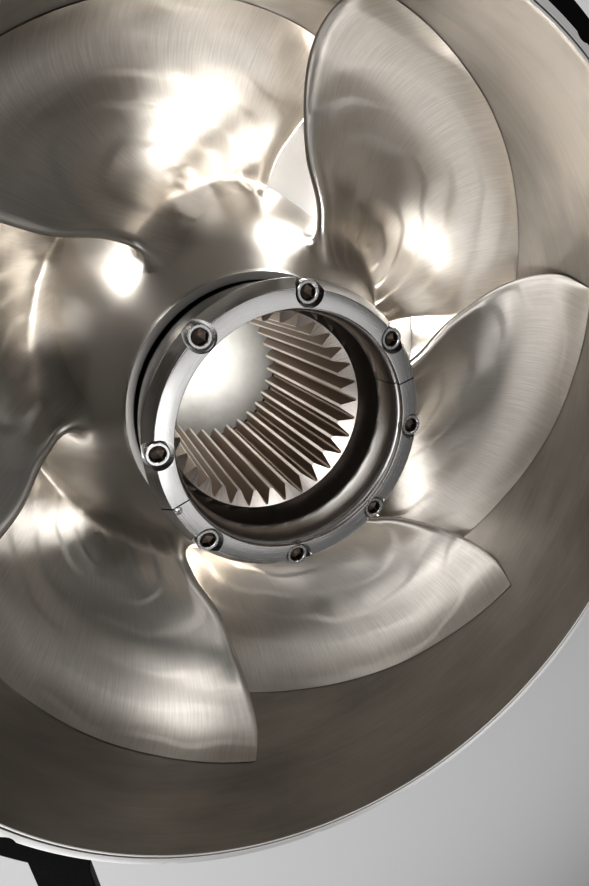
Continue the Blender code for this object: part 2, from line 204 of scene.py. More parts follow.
# Small lamps for single highlights: place and aim as (radius, azimuth, height), beam in degrees
# and brightness
ACCENT_LAMPS = (((0.23, 70.0, 0.25), (0.32, 95.0, 0.25), 70.0, 1.0),
                ((0.26, 70.0, 0.17), (0.30, 80.0, 0.19), 180.0, 2.0),
                ((0.29, 65.0, 0.25), (0.20, 75.0, 0.27), 70.0, 2.0),
                ((0.28, 90.0, 0.20), (0.22, 95.0, 0.23), 180.0, 0.5),
                ((0.29, 145.0, 0.21), (0.22, 145.0, 0.24), 180.0, 0.5),
                ((0.25, 200.0, 0.20), (0.31, 200.0, 0.20), 180.0, 2.0),
                ((0.28, 245.0, 0.45), (0.38, 240.0, 0.37), 70.0, 1.0),
                ((0.27, 315.0, 0.26), (0.34, 320.0, 0.24), 180.0, 2.0),
                ((0.25, 5.0, 0.19), (0.31, 20.0, 0.19), 180.0, 1.0),
                ((0.26, 10.0, 0.28), (0.32, 25.0, 0.22), 70.0, 1.0))
ACCENT_LAMP_SIZE = (0.06, 0.05)

FLOOR_HALF_SIZE = 8.0
FLOOR_HEIGHT = -0.0005

# Camera: place, turns about X, Y and Z in degrees, and lens
CAMERA_PLACE = (-0.1860, 0.1981, 0.8930)
CAMERA_TURN = (-17.153, -23.329, -7.337)
CAMERA_LENS = 21.763
CAMERA_SHIFT_Y = -0.0228


class RotorSizes(bpy.types.PropertyGroup):
    nose_share: FloatProperty(name="Nose share", description="Part of the blade's length that its nose takes",
                              default=0.035, min=0.01, max=0.3)
    tail_share: FloatProperty(name="Tail share", description="Part of the blade's length that its tail takes",
                              default=0.012, min=0.005, max=0.1)
    root_half_thickness: FloatProperty(name="Root half thickness", description="Half the root's thickness",
                                       default=0.0075, unit="LENGTH")
    tip_half_thickness: FloatProperty(name="Tip half thickness", description="Half the tip's thickness",
                                      default=0.0036, unit="LENGTH")
    tail_thinning: FloatProperty(name="Tail thinning", description="Share of the thickness lost at the tail",
                                 default=0.6, min=0.0, max=0.9)
    upper_fillet: FloatProperty(name="Upper fillet", description="Reach of the root fillet, above",
                                default=0.052, unit="LENGTH")
    lower_fillet: FloatProperty(name="Lower fillet", description="Reach of the root fillet, below",
                                default=0.026, unit="LENGTH")
    nose_fillet: FloatProperty(name="Nose fillet", description="Reach of the fillet round the blade's nose",
                               default=0.028, unit="LENGTH")
    tail_fillet: FloatProperty(name="Tail fillet", description="Reach of the fillet round the blade's tail",
                               default=0.012, unit="LENGTH")
    hub_sides: IntProperty(name="Hub sides", description="Facets round the hub", default=288)


class CasingSizes(bpy.types.PropertyGroup):
    sides: IntProperty(name="Casing sides", description="Facets round the casing", default=360)
    notches: IntProperty(name="Rim notches", description="Shallow notches round the rim", default=16)
    notch_chord: FloatProperty(name="Notch length", description="Length of a rim notch",
                               default=0.0145, unit="LENGTH")
    notch_depth: FloatProperty(name="Notch depth", description="Depth of a rim notch",
                               default=0.0020, unit="LENGTH")
    first_notch: FloatProperty(name="First notch", description="Angle of the first notch in degrees",
                               default=302.1)
    bolt_holes: IntProperty(name="Flange holes", description="Bolt holes in the outlet flange", default=16)
    bolt_hole_radius: FloatProperty(name="Flange hole radius", description="Radius of a flange hole",
                                    default=0.007, unit="LENGTH")


class ClampSizes(bpy.types.PropertyGroup):
    bead_bulge: FloatProperty(name="Bead bulge", description="How far the inner bead stands in",
                              default=0.0042, unit="LENGTH")
    head_radius: FloatProperty(name="Screw head radius", description="Radius of a screw head",
                               default=0.012, unit="LENGTH")
    socket_radius: FloatProperty(name="Socket radius", description="Half the socket across its corners",
                                 default=0.0081, unit="LENGTH")
    socket_depth: FloatProperty(name="Socket depth", description="Depth of the hexagon socket",
                                default=0.008, unit="LENGTH")
    pocket_radius: FloatProperty(name="Pocket radius", description="Radius of the pocket round a screw head",
                                 default=0.0150, unit="LENGTH")


class Finishes(bpy.types.PropertyGroup):
    blade_colour: FloatVectorProperty(name="Blade steel", description="Colour of the ground blades",
                                      subtype="COLOR", size=3, default=(0.60, 0.57, 0.53))
    casing_colour: FloatVectorProperty(name="Casing steel", description="Colour of the satin casing",
                                       subtype="COLOR", size=3, default=(0.50, 0.47, 0.43))
    ring_colour: FloatVectorProperty(name="Clamp ring steel", description="Colour of the bright clamp ring",
                                     subtype="COLOR", size=3, default=(0.66, 0.65, 0.64))
    spline_colour: FloatVectorProperty(name="Spline steel", description="Colour of the splined sleeve",
                                       subtype="COLOR", size=3, default=(0.42, 0.345, 0.29))
    land_colour: FloatVectorProperty(name="Tooth lands", description="Colour of the teeth's bright lands",
                                     subtype="COLOR", size=3, default=(0.74, 0.69, 0.65))
    collar_colour: FloatVectorProperty(name="Collar steel", description="Colour of the matt collar",
                                       subtype="COLOR", size=3, default=(0.60, 0.58, 0.56))
    black_colour: FloatVectorProperty(name="Black", description="Colour of the stand's brackets",
                                      subtype="COLOR", size=3, default=(0.012, 0.012, 0.012))


class StageLook(bpy.types.PropertyGroup):
    floor_colour: FloatVectorProperty(name="Floor", description="Colour of the floor",
                                      subtype="COLOR", size=3, default=(0.80, 0.80, 0.80))
    sky_strength: FloatProperty(name="Sky strength", description="Light from all round", default=0.18)
    exposure: FloatProperty(name="Exposure", description="Stops of exposure of the picture", default=0.5)
    gamma: FloatProperty(name="Gamma", description="Gamma of the picture; below one is more contrast",
                         default=0.76)
    under_power: FloatProperty(name="Light below", description="Power of each lamp under the rotor",
                               default=0.5, unit="POWER")
    bore_brightness: FloatProperty(name="Bore light", description="Brightness of the lamp in the bore",
                                   default=2.4)
    rise_brightness: FloatProperty(name="Bore light upward", description="Brightness of the upward lamp",
                                   default=0.4)


def polar(radius, degrees, height):
    """A place from its radius and angle round the axis, and its height."""
    angle = math.radians(degrees)
    return Vector((radius * math.cos(angle), radius * math.sin(angle), height))


def smooth_curve(keys, values, positions):
    """Read a smooth curve through values at rising keys, at each position."""
    keys = np.asarray(keys, float)
    values = np.asarray(values, float)
    positions = np.clip(np.asarray(positions, float), keys[0], keys[-1])
    count = len(keys)
    low = np.maximum(np.arange(count) - 1, 0)
    high = np.minimum(np.arange(count) + 1, count - 1)
    slopes = (values[high] - values[low]) / (keys[high] - keys[low])[:, None]
    index = np.clip(np.searchsorted(keys, positions, side="right") - 1, 0, count - 2)
    step = (keys[index + 1] - keys[index])[:, None]
    t = (positions - keys[index])[:, None] / step
    return ((2 * t**3 - 3 * t**2 + 1) * values[index] + (t**3 - 2 * t**2 + t) * step * slopes[index]
            + (3 * t**2 - 2 * t**3) * values[index + 1] + (t**3 - t**2) * step * slopes[index + 1])


def outline_radius(outline, heights):
    """Radius of a turned outline of (height, radius) points at each height."""
    table = np.array(outline)
    return smooth_curve(table[:, 0], table[:, 1:], heights)[:, 0]


def profile_points(outline, count):
    """Evenly spaced (radius, height) points along a smooth outline of (height, radius) points."""
    heights = np.linspace(outline[0][0], outline[-1][0], count)
    return list(zip(outline_radius(outline, heights), heights))


def rounded(corners, steps=4):
    """A closed outline of (radius, height, rounding) corners with the corners rounded."""
    points = []
    count = len(corners)
    for i, (radius, height, rounding) in enumerate(corners):
        here = Vector((radius, height))
        if not rounding:
            points.append(tuple(here))
            continue
        before = Vector(corners[i - 1][:2])
        after = Vector(corners[(i + 1) % count][:2])
        start = here + (before - here).normalized() * rounding
        end = here + (after - here).normalized() * rounding
        for step in range(steps + 1):
            t = step / steps
            points.append(tuple(start * (1 - t) ** 2 + here * 2 * t * (1 - t) + end * t**2))
    return points


def finish_mesh(name, bm, sharp_degrees=35.0):
    """Keep a bmesh as a smooth-shaded mesh with its sharp edges marked."""
    bmesh.ops.recalc_face_normals(bm, faces=bm.faces)
    mesh = bpy.data.meshes.new(name)
    bm.to_mesh(mesh)
    bm.free()
    mesh.shade_smooth()
    mesh.set_sharp_from_angle(angle=math.radians(sharp_degrees))
    return mesh


def add_object(name, mesh, material=None):
    item = bpy.data.objects.new(name, mesh)
    bpy.context.scene.collection.objects.link(item)
    if material:
        mesh.materials.append(material)
    return item


def place_piece(item, body, slot, *nodes):
    """Let a finished piece ride on its body and stand for its plain solids."""
    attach(item, body)
    for node in nodes:
        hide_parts(node)


def turned_mesh(name, outline, sides, start=0.0, end=360.0, sharp_degrees=35.0):
    """A closed outline of (radius, height) pairs turned about the axis, all round or with flat ends."""
    closed = end - start >= 360.0
    bm = bmesh.new()
    sections = []
    for step in range(sides if closed else sides + 1):
        angle = start + (end - start) * step / sides
        sections.append([bm.verts.new(polar(radius, angle, height)) for radius, height in outline])
    count = len(outline)
    following = sections[1:] + sections[:1] if closed else sections[1:]
    for section, after in zip(sections, following):
        for i in range(count):
            j = (i + 1) % count
            bm.faces.new((section[i], section[j], after[j], after[i]))
    if not closed:
        bm.faces.new(sections[0])
        bm.faces.new(sections[-1])
    return finish_mesh(name, bm, sharp_degrees)


def round_bar(bm, radius, bottom, top, place, sides=32):
    """Add an upright round bar with its middle at a place on the plan."""
    middle = Matrix.Translation((place.x, place.y, (bottom + top) / 2))
    bmesh.ops.create_cone(bm, cap_ends=True, segments=sides, radius1=radius, radius2=radius,
                          depth=top - bottom, matrix=middle)


def cut_away(item, bm, sharp_degrees=35.0):
    """Cut the bars of a mesh out of an object and keep the result as its mesh."""
    bmesh.ops.recalc_face_normals(bm, faces=bm.faces)
    mesh = bpy.data.meshes.new("cutter")
    bm.to_mesh(mesh)
    bm.free()
    cutter = bpy.data.objects.new("cutter", mesh)
    bpy.context.scene.collection.objects.link(cutter)
    boolean = item.modifiers.new("cut", "BOOLEAN")
    boolean.operation = "DIFFERENCE"
    boolean.solver = "EXACT"
    boolean.object = cutter
    bpy.context.view_layer.update()
    result = item.evaluated_get(bpy.context.evaluated_depsgraph_get())
    mesh = bpy.data.meshes.new_from_object(result)
    item.modifiers.clear()
    item.data = mesh
    mesh.shade_smooth()
    mesh.set_sharp_from_angle(angle=math.radians(sharp_degrees))
    bpy.data.objects.remove(cutter)


class Finish:
    """A material under construction: a Principled shader, and short calls that add and join nodes."""

    def __init__(self, name, colour, metallic=1.0):
        self.material = bpy.data.materials.new(name)
        self.material.use_nodes = True
        self.tree = self.material.node_tree
        self.shader = self.tree.nodes["Principled BSDF"]
        self.set("Base Color", (*colour, 1.0))
        self.set("Metallic", metallic)
        self.place = self.tree.nodes.new("ShaderNodeTexCoord").outputs["Object"]

    def put(self, socket, value):
        """Give a socket a number or a colour, or link it to another node's output."""
        if isinstance(value, bpy.types.NodeSocket):
            self.tree.links.new(value, socket)
        else:
            socket.default_value = value

    def set(self, name, value):
        self.put(self.shader.inputs[name], value)

    def math(self, operation, first, second=0.0, third=0.0):
        node = self.tree.nodes.new("ShaderNodeMath")
        node.operation = operation
        for socket, value in zip(node.inputs, (first, second, third)):
            self.put(socket, value)
        return node.outputs[0]

    def combine(self, x, y, z):
        node = self.tree.nodes.new("ShaderNodeCombineXYZ")
        for socket, value in zip(node.inputs, (x, y, z)):
            self.put(socket, value)
        return node.outputs[0]

    def scaled(self, vector, scale):
        node = self.tree.nodes.new("ShaderNodeVectorMath")
        node.operation = "MULTIPLY"
        self.put(node.inputs[0], vector)
        self.put(node.inputs[1], scale)
        return node.outputs[0]

    def split(self, vector):
        node = self.tree.nodes.new("ShaderNodeSeparateXYZ")
        self.put(node.inputs[0], vector)
        return node.outputs

    def noise(self, vector, scale=1.0, detail=3.0, roughness=0.55, fourth=None):
        node = self.tree.nodes.new("ShaderNodeTexNoise")
        if fourth is not None:
            node.noise_dimensions = "4D"
            self.put(node.inputs["W"], fourth)
        self.put(node.inputs["Vector"], vector)
        self.put(node.inputs["Scale"], scale)
        self.put(node.inputs["Detail"], detail)
        self.put(node.inputs["Roughness"], roughness)
        return node.outputs[0]

    def span(self, value, low, high, to_low, to_high, smooth=False):
        """Turn the range from low to high into another one."""
        node = self.tree.nodes.new("ShaderNodeMapRange")
        if smooth:
            node.interpolation_type = "SMOOTHSTEP"
        for name, number in (("Value", value), ("From Min", low), ("From Max", high), ("To Min", to_low),
                             ("To Max", to_high)):
            self.put(node.inputs[name], number)
        return node.outputs[0]

    def mix(self, share, first, second):
        node = self.tree.nodes.new("ShaderNodeMix")
        node.data_type = "RGBA"
        self.put(node.inputs["Factor"], share)
        sockets = [socket for socket in node.inputs if socket.type == "RGBA"]
        for socket, value in zip(sockets, (first, second)):
            self.put(socket, value if isinstance(value, bpy.types.NodeSocket) else (*value, 1.0))
        return [socket for socket in node.outputs if socket.type == "RGBA"][0]

    def rough(self, pattern, low, high):
        """Let the roughness follow a pattern, from low to high."""
        self.set("Roughness", self.span(pattern, 0.3, 0.7, low, high))

    def bump(self, height, distance):
        """Stack one more layer of relief on the surface."""
        node = self.tree.nodes.new("ShaderNodeBump")
        self.put(node.inputs["Height"], height)
        self.put(node.inputs["Distance"], distance)
        node.inputs["Strength"].default_value = 1.0
        before = self.shader.inputs["Normal"]
        if before.is_linked:
            self.tree.links.new(before.links[0].from_socket, node.inputs["Normal"])
        self.tree.links.new(node.outputs[0], before)

    def brushed_along(self, amount, uv_map=""):
        """Stretch highlights across brush lines along a UV map's U, or round the axis without one."""
        node = self.tree.nodes.new("ShaderNodeTangent")
        node.direction_type = "UV_MAP" if uv_map else "RADIAL"
        if uv_map:
            node.uv_map = uv_map
        else:
            node.axis = "Z"
        self.put(self.shader.inputs["Tangent"], node.outputs[0])
        self.set("Anisotropic", amount)
        self.set("Anisotropic Rotation", 0.25)

    def around(self):
        """Cosine and sine of the angle round the axis, the radius and the height."""
        x, y, z = self.split(self.place)
        squares = self.math("ADD", self.math("MULTIPLY", x, x), self.math("MULTIPLY", y, y))
        radius = self.math("SQRT", squares)
        return self.math("DIVIDE", x, radius), self.math("DIVIDE", y, radius), radius, z

    def marks(self, round_turn, outward):
        """Fine marks: how fast they change round the axis, and how fast outward and upward."""
        cosine, sine, radius, height = self.around()
        vector = self.combine(self.math("MULTIPLY", cosine, round_turn),
                              self.math("MULTIPLY", sine, round_turn), self.math("MULTIPLY", radius, outward))
        return self.noise(vector, detail=2.0, fourth=self.math("MULTIPLY", height, outward))


def chosen(name):
    """A colour from the panel."""
    return tuple(getattr(bpy.context.scene.impeller_finishes, name))


def darker(colour, share):
    return tuple(channel * share for channel in colour)


def blade_steel():
    """Ground steel: satin, with fine arcs of grinding, a few broad, faintly stepped passes, and a rougher
    band below the tip that is lighter as a painted highlight.
    """
    colour = chosen("blade_colour")
    finish = Finish("blade_steel", colour)
    map_node = finish.tree.nodes.new("ShaderNodeUVMap")
    map_node.uv_map = "chord_span"
    chord, rise, _ = finish.split(map_node.outputs["UV"])
    wander = finish.noise(finish.place, scale=6.0, detail=2.0)
    outer = finish.math("MULTIPLY_ADD", wander, 0.06, rise)
    # A rougher band below the tip, lighter in colour as a painted highlight that fades again at the very tip.
    rough_band_and_highlight = finish.math("MULTIPLY", finish.span(outer, 0.68, 0.80, 0.0, 1.0, smooth=True),
                         finish.span(outer, 0.82, 1.02, 1.0, 0.0, smooth=True))
    strokes = finish.noise(finish.scaled(map_node.outputs["UV"], (240.0, 7.0, 0.0)))
    patches = finish.noise(finish.place, scale=7.0, detail=3.0)
    worn_colour = finish.mix(finish.span(patches, 0.35, 0.7, 0.0, 1.0), darker(colour, 0.88), colour)
    # The pale colour of that band is the painted highlight.
    colour_with_painted_highlight = finish.mix(rough_band_and_highlight, worn_colour, (0.76, 0.73, 0.69))
    shade = finish.span(strokes, 0.35, 0.65, 0.16, 0.0)
    finish.set("Base Color", finish.mix(shade, colour_with_painted_highlight, (0.2, 0.18, 0.16)))
    grain = finish.marks(9.0, 700.0)
    satin = finish.span(grain, 0.3, 0.7, 0.30, 0.38)
    finish.set("Roughness", finish.math("MULTIPLY_ADD", rough_band_and_highlight, 0.20, satin))
    away = finish.math("ADD", finish.math("POWER", finish.math("SUBTRACT", chord, 0.42), 2.0),
                       finish.math("POWER", finish.math("SUBTRACT", rise, 0.15), 2.0))
    reach = finish.math("MULTIPLY_ADD", wander, 0.3, finish.math("SQRT", away))
    steps = finish.math("FRACT", finish.math("MULTIPLY", reach, 7.0))
    worn = finish.span(steps, 0.0, 0.7, 0.0, 1.0, smooth=True)
    edge = finish.span(steps, 0.7, 1.0, 0.0, 1.0, smooth=True)
    finish.bump(finish.math("SUBTRACT", worn, edge), 0.0007)
    finish.bump(finish.noise(finish.place, scale=12.0, detail=1.0), 0.0014)
    finish.bump(grain, 0.000004)
    finish.bump(strokes, 0.00002)
    finish.brushed_along(0.75, "chord_span")
    return finish.material


def hub_steel():
    """The same steel where it was ground outward from the axis."""
    colour = chosen("blade_colour")
    finish = Finish("hub_steel", colour)
    streaks = finish.marks(110.0, 3.0)
    finish.rough(streaks, 0.36, 0.44)
    finish.set("Base Color", finish.mix(streaks, darker(colour, 0.95), colour))
    finish.bump(finish.noise(finish.place, scale=14.0, detail=1.0), 0.0012)
    finish.bump(streaks, 0.000003)
    return finish.material


def collar_steel():
    """Matt turned steel round the collar."""
    colour = chosen("collar_colour")
    finish = Finish("collar_steel", colour)
    marks = finish.marks(6.0, 1500.0)
    finish.rough(marks, 0.36, 0.5)
    finish.bump(marks, 0.00003)
    return finish.material


def casing_steel():
    """Satin steel with turning lines and cloudy patches."""
    colour = chosen("casing_colour")
    finish = Finish("casing_steel", colour)
    lines = finish.marks(3.0, 700.0)
    patches = finish.noise(finish.scaled(finish.place, (1.0, 1.0, 3.0)), scale=5.0, detail=4.0)
    worn_colour = finish.mix(finish.span(patches, 0.35, 0.65, 0.0, 1.0), darker(colour, 0.72), colour)
    shade = finish.span(lines, 0.35, 0.65, 0.12, 0.0)
    finish.set("Base Color", finish.mix(shade, worn_colour, (0.1, 0.09, 0.08)))
    finish.rough(lines, 0.29, 0.40)
    finish.bump(finish.noise(finish.place, scale=9.0, detail=2.0), 0.0008)
    finish.bump(lines, 0.00004)
    finish.brushed_along(0.7)
    return finish.material


def rim_steel():
    """Pale machined steel of the inlet rim, half diffuse; its pale colour partly paints the bright sheen of
    the room that the rim reflects.
    """
    pale = (0.84, 0.83, 0.82)
    finish = Finish("rim_steel", pale, 0.5)
    lines = finish.marks(4.0, 1500.0)
    finish.set("Base Color", finish.mix(lines, (0.62, 0.61, 0.60), pale))
    finish.rough(lines, 0.32, 0.5)
    finish.bump(lines, 0.00002)
    return finish.material


def ring_steel():
    """Bright turned steel with fine scratches."""
    colour = chosen("ring_colour")
    finish = Finish("ring_steel", colour)
    lines = finish.marks(4.0, 1800.0)
    scratches = finish.noise(finish.scaled(finish.place, (900.0, 60.0, 60.0)), detail=2.0)
    shade = finish.span(lines, 0.3, 0.7, 0.0, 1.0)
    finish.set("Base Color", finish.mix(shade, darker(colour, 0.85), colour))
    finish.rough(lines, 0.16, 0.28)
    finish.bump(lines, 0.00002)
    finish.bump(scratches, 0.00002)
    return finish.material


def spline_steel():
    """Brown, oiled tooth flanks."""
    colour = chosen("spline_colour")
    finish = Finish("spline_steel", colour)
    marks = finish.marks(500.0, 10.0)
    finish.set("Base Color", finish.mix(marks, darker(colour, 0.7), colour))
    finish.rough(marks, 0.28, 0.44)
    finish.bump(marks, 0.00004)
    return finish.material


def land_steel():
    """Bright tooth lands and entry facets."""
    colour = chosen("land_colour")
    finish = Finish("land_steel", colour)
    marks = finish.marks(500.0, 10.0)
    finish.rough(marks, 0.24, 0.4)
    finish.bump(marks, 0.00002)
    return finish.material


def cover_steel():
    """Blasted, cloudy steel at the end of the bore."""
    pale = (0.92, 0.90, 0.86)
    finish = Finish("cover_steel", pale, 0.4)
    clouds = finish.noise(finish.place, scale=24.0, detail=4.0)
    finish.set("Base Color", finish.mix(clouds, (0.66, 0.65, 0.60), pale))
    finish.rough(clouds, 0.5, 0.65)
    finish.bump(clouds, 0.002)
    return finish.material


def screw_steel():
    """Machined steel of the screw heads."""
    colour = chosen("ring_colour")
    finish = Finish("screw_steel", darker(colour, 0.9))
    grain = finish.noise(finish.place, scale=700.0, detail=2.0)
    finish.rough(grain, 0.2, 0.36)
    finish.bump(grain, 0.00004)
    return finish.material


def dark_steel():
    """Near-black steel that paints the deep shade in the screw sockets, in the gap round the clamp ring and
    at the clamp ring's splits.
    """
    finish = Finish("dark_steel", (0.05, 0.045, 0.04))
    grain = finish.noise(finish.place, scale=400.0, detail=2.0)
    finish.rough(grain, 0.42, 0.6)
    return finish.material


def socket_steel():
    """Dark brown bottoms of the screw sockets: the darkness is painted shade of the deep socket."""
    finish = Finish("socket_steel", (0.15, 0.12, 0.10))
    grain = finish.noise(finish.place, scale=400.0, detail=2.0)
    finish.rough(grain, 0.3, 0.45)
    return finish.material


def black_lining():
    """Smooth, near-black glossy steel that mirrors the teeth."""
    finish = Finish("black_lining", (0.10, 0.085, 0.075), 0.85)
    grain = finish.noise(finish.place, scale=300.0, detail=3.0)
    finish.rough(grain, 0.12, 0.22)
    return finish.material


def black_paint():
    """Dull black of the stand."""
    colour = chosen("black_colour")
    finish = Finish("black_paint", darker(colour, 0.35), 0.0)
    finish.set("Specular IOR Level", 0.06)
    grain = finish.noise(finish.place, scale=500.0, detail=2.0)
    finish.rough(grain, 0.45, 0.6)
    finish.bump(grain, 0.0001)
    return finish.material


def arc_stations(points):
    """Share of the length of a curve of (height, radius, angle) points at each of them."""
    points = np.array(points)
    angles = np.radians(points[:, 2])
    places = np.stack([points[:, 1] * np.cos(angles), points[:, 1] * np.sin(angles), points[:, 0]], 1)
    lengths = np.concatenate([[0.0], np.cumsum(np.linalg.norm(np.diff(places, axis=0), axis=1))])
    return lengths / lengths[-1]


def blade_edges():
    """The four edges of a blade's middle surface, as (height, radius, angle) points."""
    tip = [(height, outline_radius(CASING_BORE, [height])[0] - TIP_CLEARANCE, angle)
           for height, angle in TIP_LINE]
    root = [(height, outline_radius(HUB_OUTSIDE, [height])[0], angle) for height, angle in ROOT_LINE]
    leading = [root[0], *LEADING_EDGE, tip[0]]
    trailing = [root[-1], *TRAILING_EDGE, tip[-1]]
    return leading, trailing, root, tip


def blade_middle(spans, chords):
    """Places on the blade's middle surface, for arrays of spans and chords of one shape."""
    leading, trailing, root, tip = blade_edges()
    shape = (*spans.shape, 3)
    along = [smooth_curve(arc_stations(edge), edge, chords.ravel()).reshape(shape) for edge in (root, tip)]
    across = [smooth_curve(arc_stations(edge), edge, spans.ravel()).reshape(shape)
              for edge in (leading, trailing)]
    s = spans[..., None]
    c = chords[..., None]
    corners = (np.array(root[0]) * (1 - s) + np.array(tip[0]) * s) * (1 - c)
    corners = corners + (np.array(root[-1]) * (1 - s) + np.array(tip[-1]) * s) * c
    blend = along[0] * (1 - s) + along[1] * s + across[0] * (1 - c) + across[1] * c - corners
    angles = np.radians(blend[..., 2])
    return np.stack([blend[..., 1] * np.cos(angles), blend[..., 1] * np.sin(angles), blend[..., 0]], -1)


def unit(vectors):
    """The same directions with a length of one."""
    return vectors / np.maximum(np.linalg.norm(vectors, axis=-1, keepdims=True), 1e-12)


def ease(share):
    """A smooth rise from 0 to 1."""
    share = np.clip(share, 0.0, 1.0)
    return share * share * (3 - 2 * share)


def chord_stations(sizes):
    """Places along the blade's length, closer together at its nose and tail."""
    nose = sizes.nose_share * (1 - np.cos(np.linspace(0.0, math.pi / 2, 11)))
    tail = 1 - sizes.tail_share * (1 - np.cos(np.linspace(math.pi / 2, 0.0, 4)))
    return np.concatenate([nose[:-1], np.linspace(sizes.nose_share, tail[0], 70)[:-1], tail])


def blade_side(sizes, spans, chords, side):
    """Places on the blade's upper (side 1) or lower (side -1) surface."""
    step = 0.01
    spans, chords = np.broadcast_arrays(spans, chords)
    low_chord = np.clip(chords, step, 1 - step)
    low_span = np.clip(spans, step, 1 - step)
    along = blade_middle(low_span, low_chord + step) - blade_middle(low_span, low_chord - step)
    across = blade_middle(low_span + step, low_chord) - blade_middle(low_span - step, low_chord)
    normal = unit(np.cross(across, along))
    full = sizes.root_half_thickness + (sizes.tip_half_thickness - sizes.root_half_thickness) * spans
    nose = 1 - np.minimum(chords / sizes.nose_share, 1.0)
    tail = 1 - np.minimum((1 - chords) / sizes.tail_share, 1.0)
    half = full * np.sqrt(1 - nose**2) * np.sqrt(1 - tail**2) * (1 - sizes.tail_thinning * chords)
    return blade_middle(spans, chords) + side * normal * half[..., None]


def on_hub(places):
    """Move places in or out onto the hub's outside."""
    heights = np.clip(places[:, 2], HUB_OUTSIDE[0][0], HUB_OUTSIDE[-1][0])
    share = outline_radius(HUB_OUTSIDE, heights) / np.hypot(places[:, 0], places[:, 1])
    return np.stack([places[:, 0] * share, places[:, 1] * share, heights], 1)


def along_hub(places, directions):
    """Directions turned to lie in the hub's surface at places on it."""
    step = 0.001
    heights = np.clip(places[:, 2], HUB_OUTSIDE[0][0] + step, HUB_OUTSIDE[-1][0] - step)
    rise = outline_radius(HUB_OUTSIDE, heights + step) - outline_radius(HUB_OUTSIDE, heights - step)
    slope = rise / (2 * step)
    radii = np.hypot(places[:, 0], places[:, 1])
    normal = unit(np.stack([places[:, 0] / radii, places[:, 1] / radii, -slope], 1))
    return unit(directions - normal * np.sum(directions * normal, axis=1, keepdims=True))


def run_to_wall(line, fixed, easing=14):
    """Shorten a line of places where it passes the casing's wall, and ease its end onto the wall."""
    last = len(line) - 1
    wall = outline_radius(CASING_BORE, line[:, 2]) - TIP_CLEARANCE
    room = wall - np.hypot(line[:, 0], line[:, 1])
    crossing = next((i for i in range(fixed, last) if room[i + 1] < 0.0 <= room[i]), last)
    end = crossing + (room[crossing] / (room[crossing] - room[crossing + 1]) if crossing < last else 0.0)
    steps = np.arange(last + 1, dtype=float)
    steps[fixed:] = np.linspace(fixed, end, last + 1 - fixed)
    line = np.stack([np.interp(steps, np.arange(last + 1), line[:, axis]) for axis in range(3)], 1)
    radii = np.hypot(line[:, 0], line[:, 1])
    room = outline_radius(CASING_BORE, line[:, 2]) - TIP_CLEARANCE - radii
    share = np.clip((np.arange(last + 1) - (last - easing)) / easing, 0.0, 1.0) ** 2
    line[:, :2] *= (1 + np.minimum(room[-1] * share, room) / radii)[:, None]
    return line


def fillet_reach(sizes, chords, side):
    """How far the root fillet runs up the blade and out over the hub, at each chord."""
    middle = sizes.upper_fillet if side > 0 else sizes.lower_fillet
    to_nose = 1 - ease(chords / 0.3)
    to_tail = 1 - ease((1 - chords) / 0.3)
    return middle + (sizes.nose_fillet - middle) * to_nose + (sizes.tail_fillet - middle) * to_tail


def blade_skin_rows(sizes, fillet_rows=16, blade_rows=46):
    """Rows of places round the blade, from inside the hub over the root fillet to the tip, and their spans.

    Each row runs along the upper side to the tail and back along the lower side.
    """
    chords = chord_stations(sizes)
    tip_line = blade_middle(np.ones_like(chords), chords)
    root_line = blade_middle(np.zeros_like(chords), chords)
    length = np.linalg.norm(tip_line - root_line, axis=1)
    sides = []
    for side in (1, -1):
        reach = fillet_reach(sizes, chords, side)
        start = reach / length
        rise = np.linspace(0.0, 1.0, blade_rows)[:, None]
        spans = np.concatenate([np.zeros((1, len(chords))), start[None] + (1 - start[None]) * rise])
        sides.append((blade_side(sizes, spans, chords[None], side), spans, reach))
    (upper, upper_spans, upper_reach), (lower, lower_spans, lower_reach) = sides
    skin = np.concatenate([upper, lower[:, -2:0:-1]], axis=1)
    spans = np.concatenate([upper_spans, lower_spans[:, -2:0:-1]], axis=1)
    reach = np.concatenate([upper_reach, lower_reach[-2:0:-1]])[:, None]
    corner = on_hub(skin[0])
    foot = skin[1]
    running = np.roll(corner, -1, axis=0) - np.roll(corner, 1, axis=0)
    away = unit(np.cross(running, foot - corner))
    middle_column = len(chords) // 2
    if np.dot(away[middle_column], upper[0, middle_column] - lower[0, middle_column]) < 0:
        away = -away
    start = on_hub(corner + reach * along_hub(corner, away))
    leaving = along_hub(start, corner - start)
    rising = unit(skin[2] - skin[1])
    handle = FILLET_HANDLE * reach
    fillet = []
    for t in np.linspace(0.0, 1.0, fillet_rows)[:-1]:
        fillet.append(start * (1 - t) ** 3 + (start + leaving * handle) * 3 * t * (1 - t) ** 2
                      + (foot - rising * handle) * 3 * t**2 * (1 - t) + foot * t**3)
    rows = np.concatenate([np.array(fillet), skin[1:]])
    for column in range(rows.shape[1]):
        rows[:, column] = run_to_wall(rows[:, column], fillet_rows)
    sunk = rows[0].copy()
    sunk[:, :2] *= 1 - FILLET_SUNK / np.hypot(sunk[:, 0], sunk[:, 1])[:, None]
    share = np.linspace(0.0, 1.0, fillet_rows)[:-1, None]
    spans = np.concatenate([np.zeros((1, rows.shape[1])), share * spans[1][None], spans[1:]])
    return np.concatenate([sunk[None], rows]), spans, chords


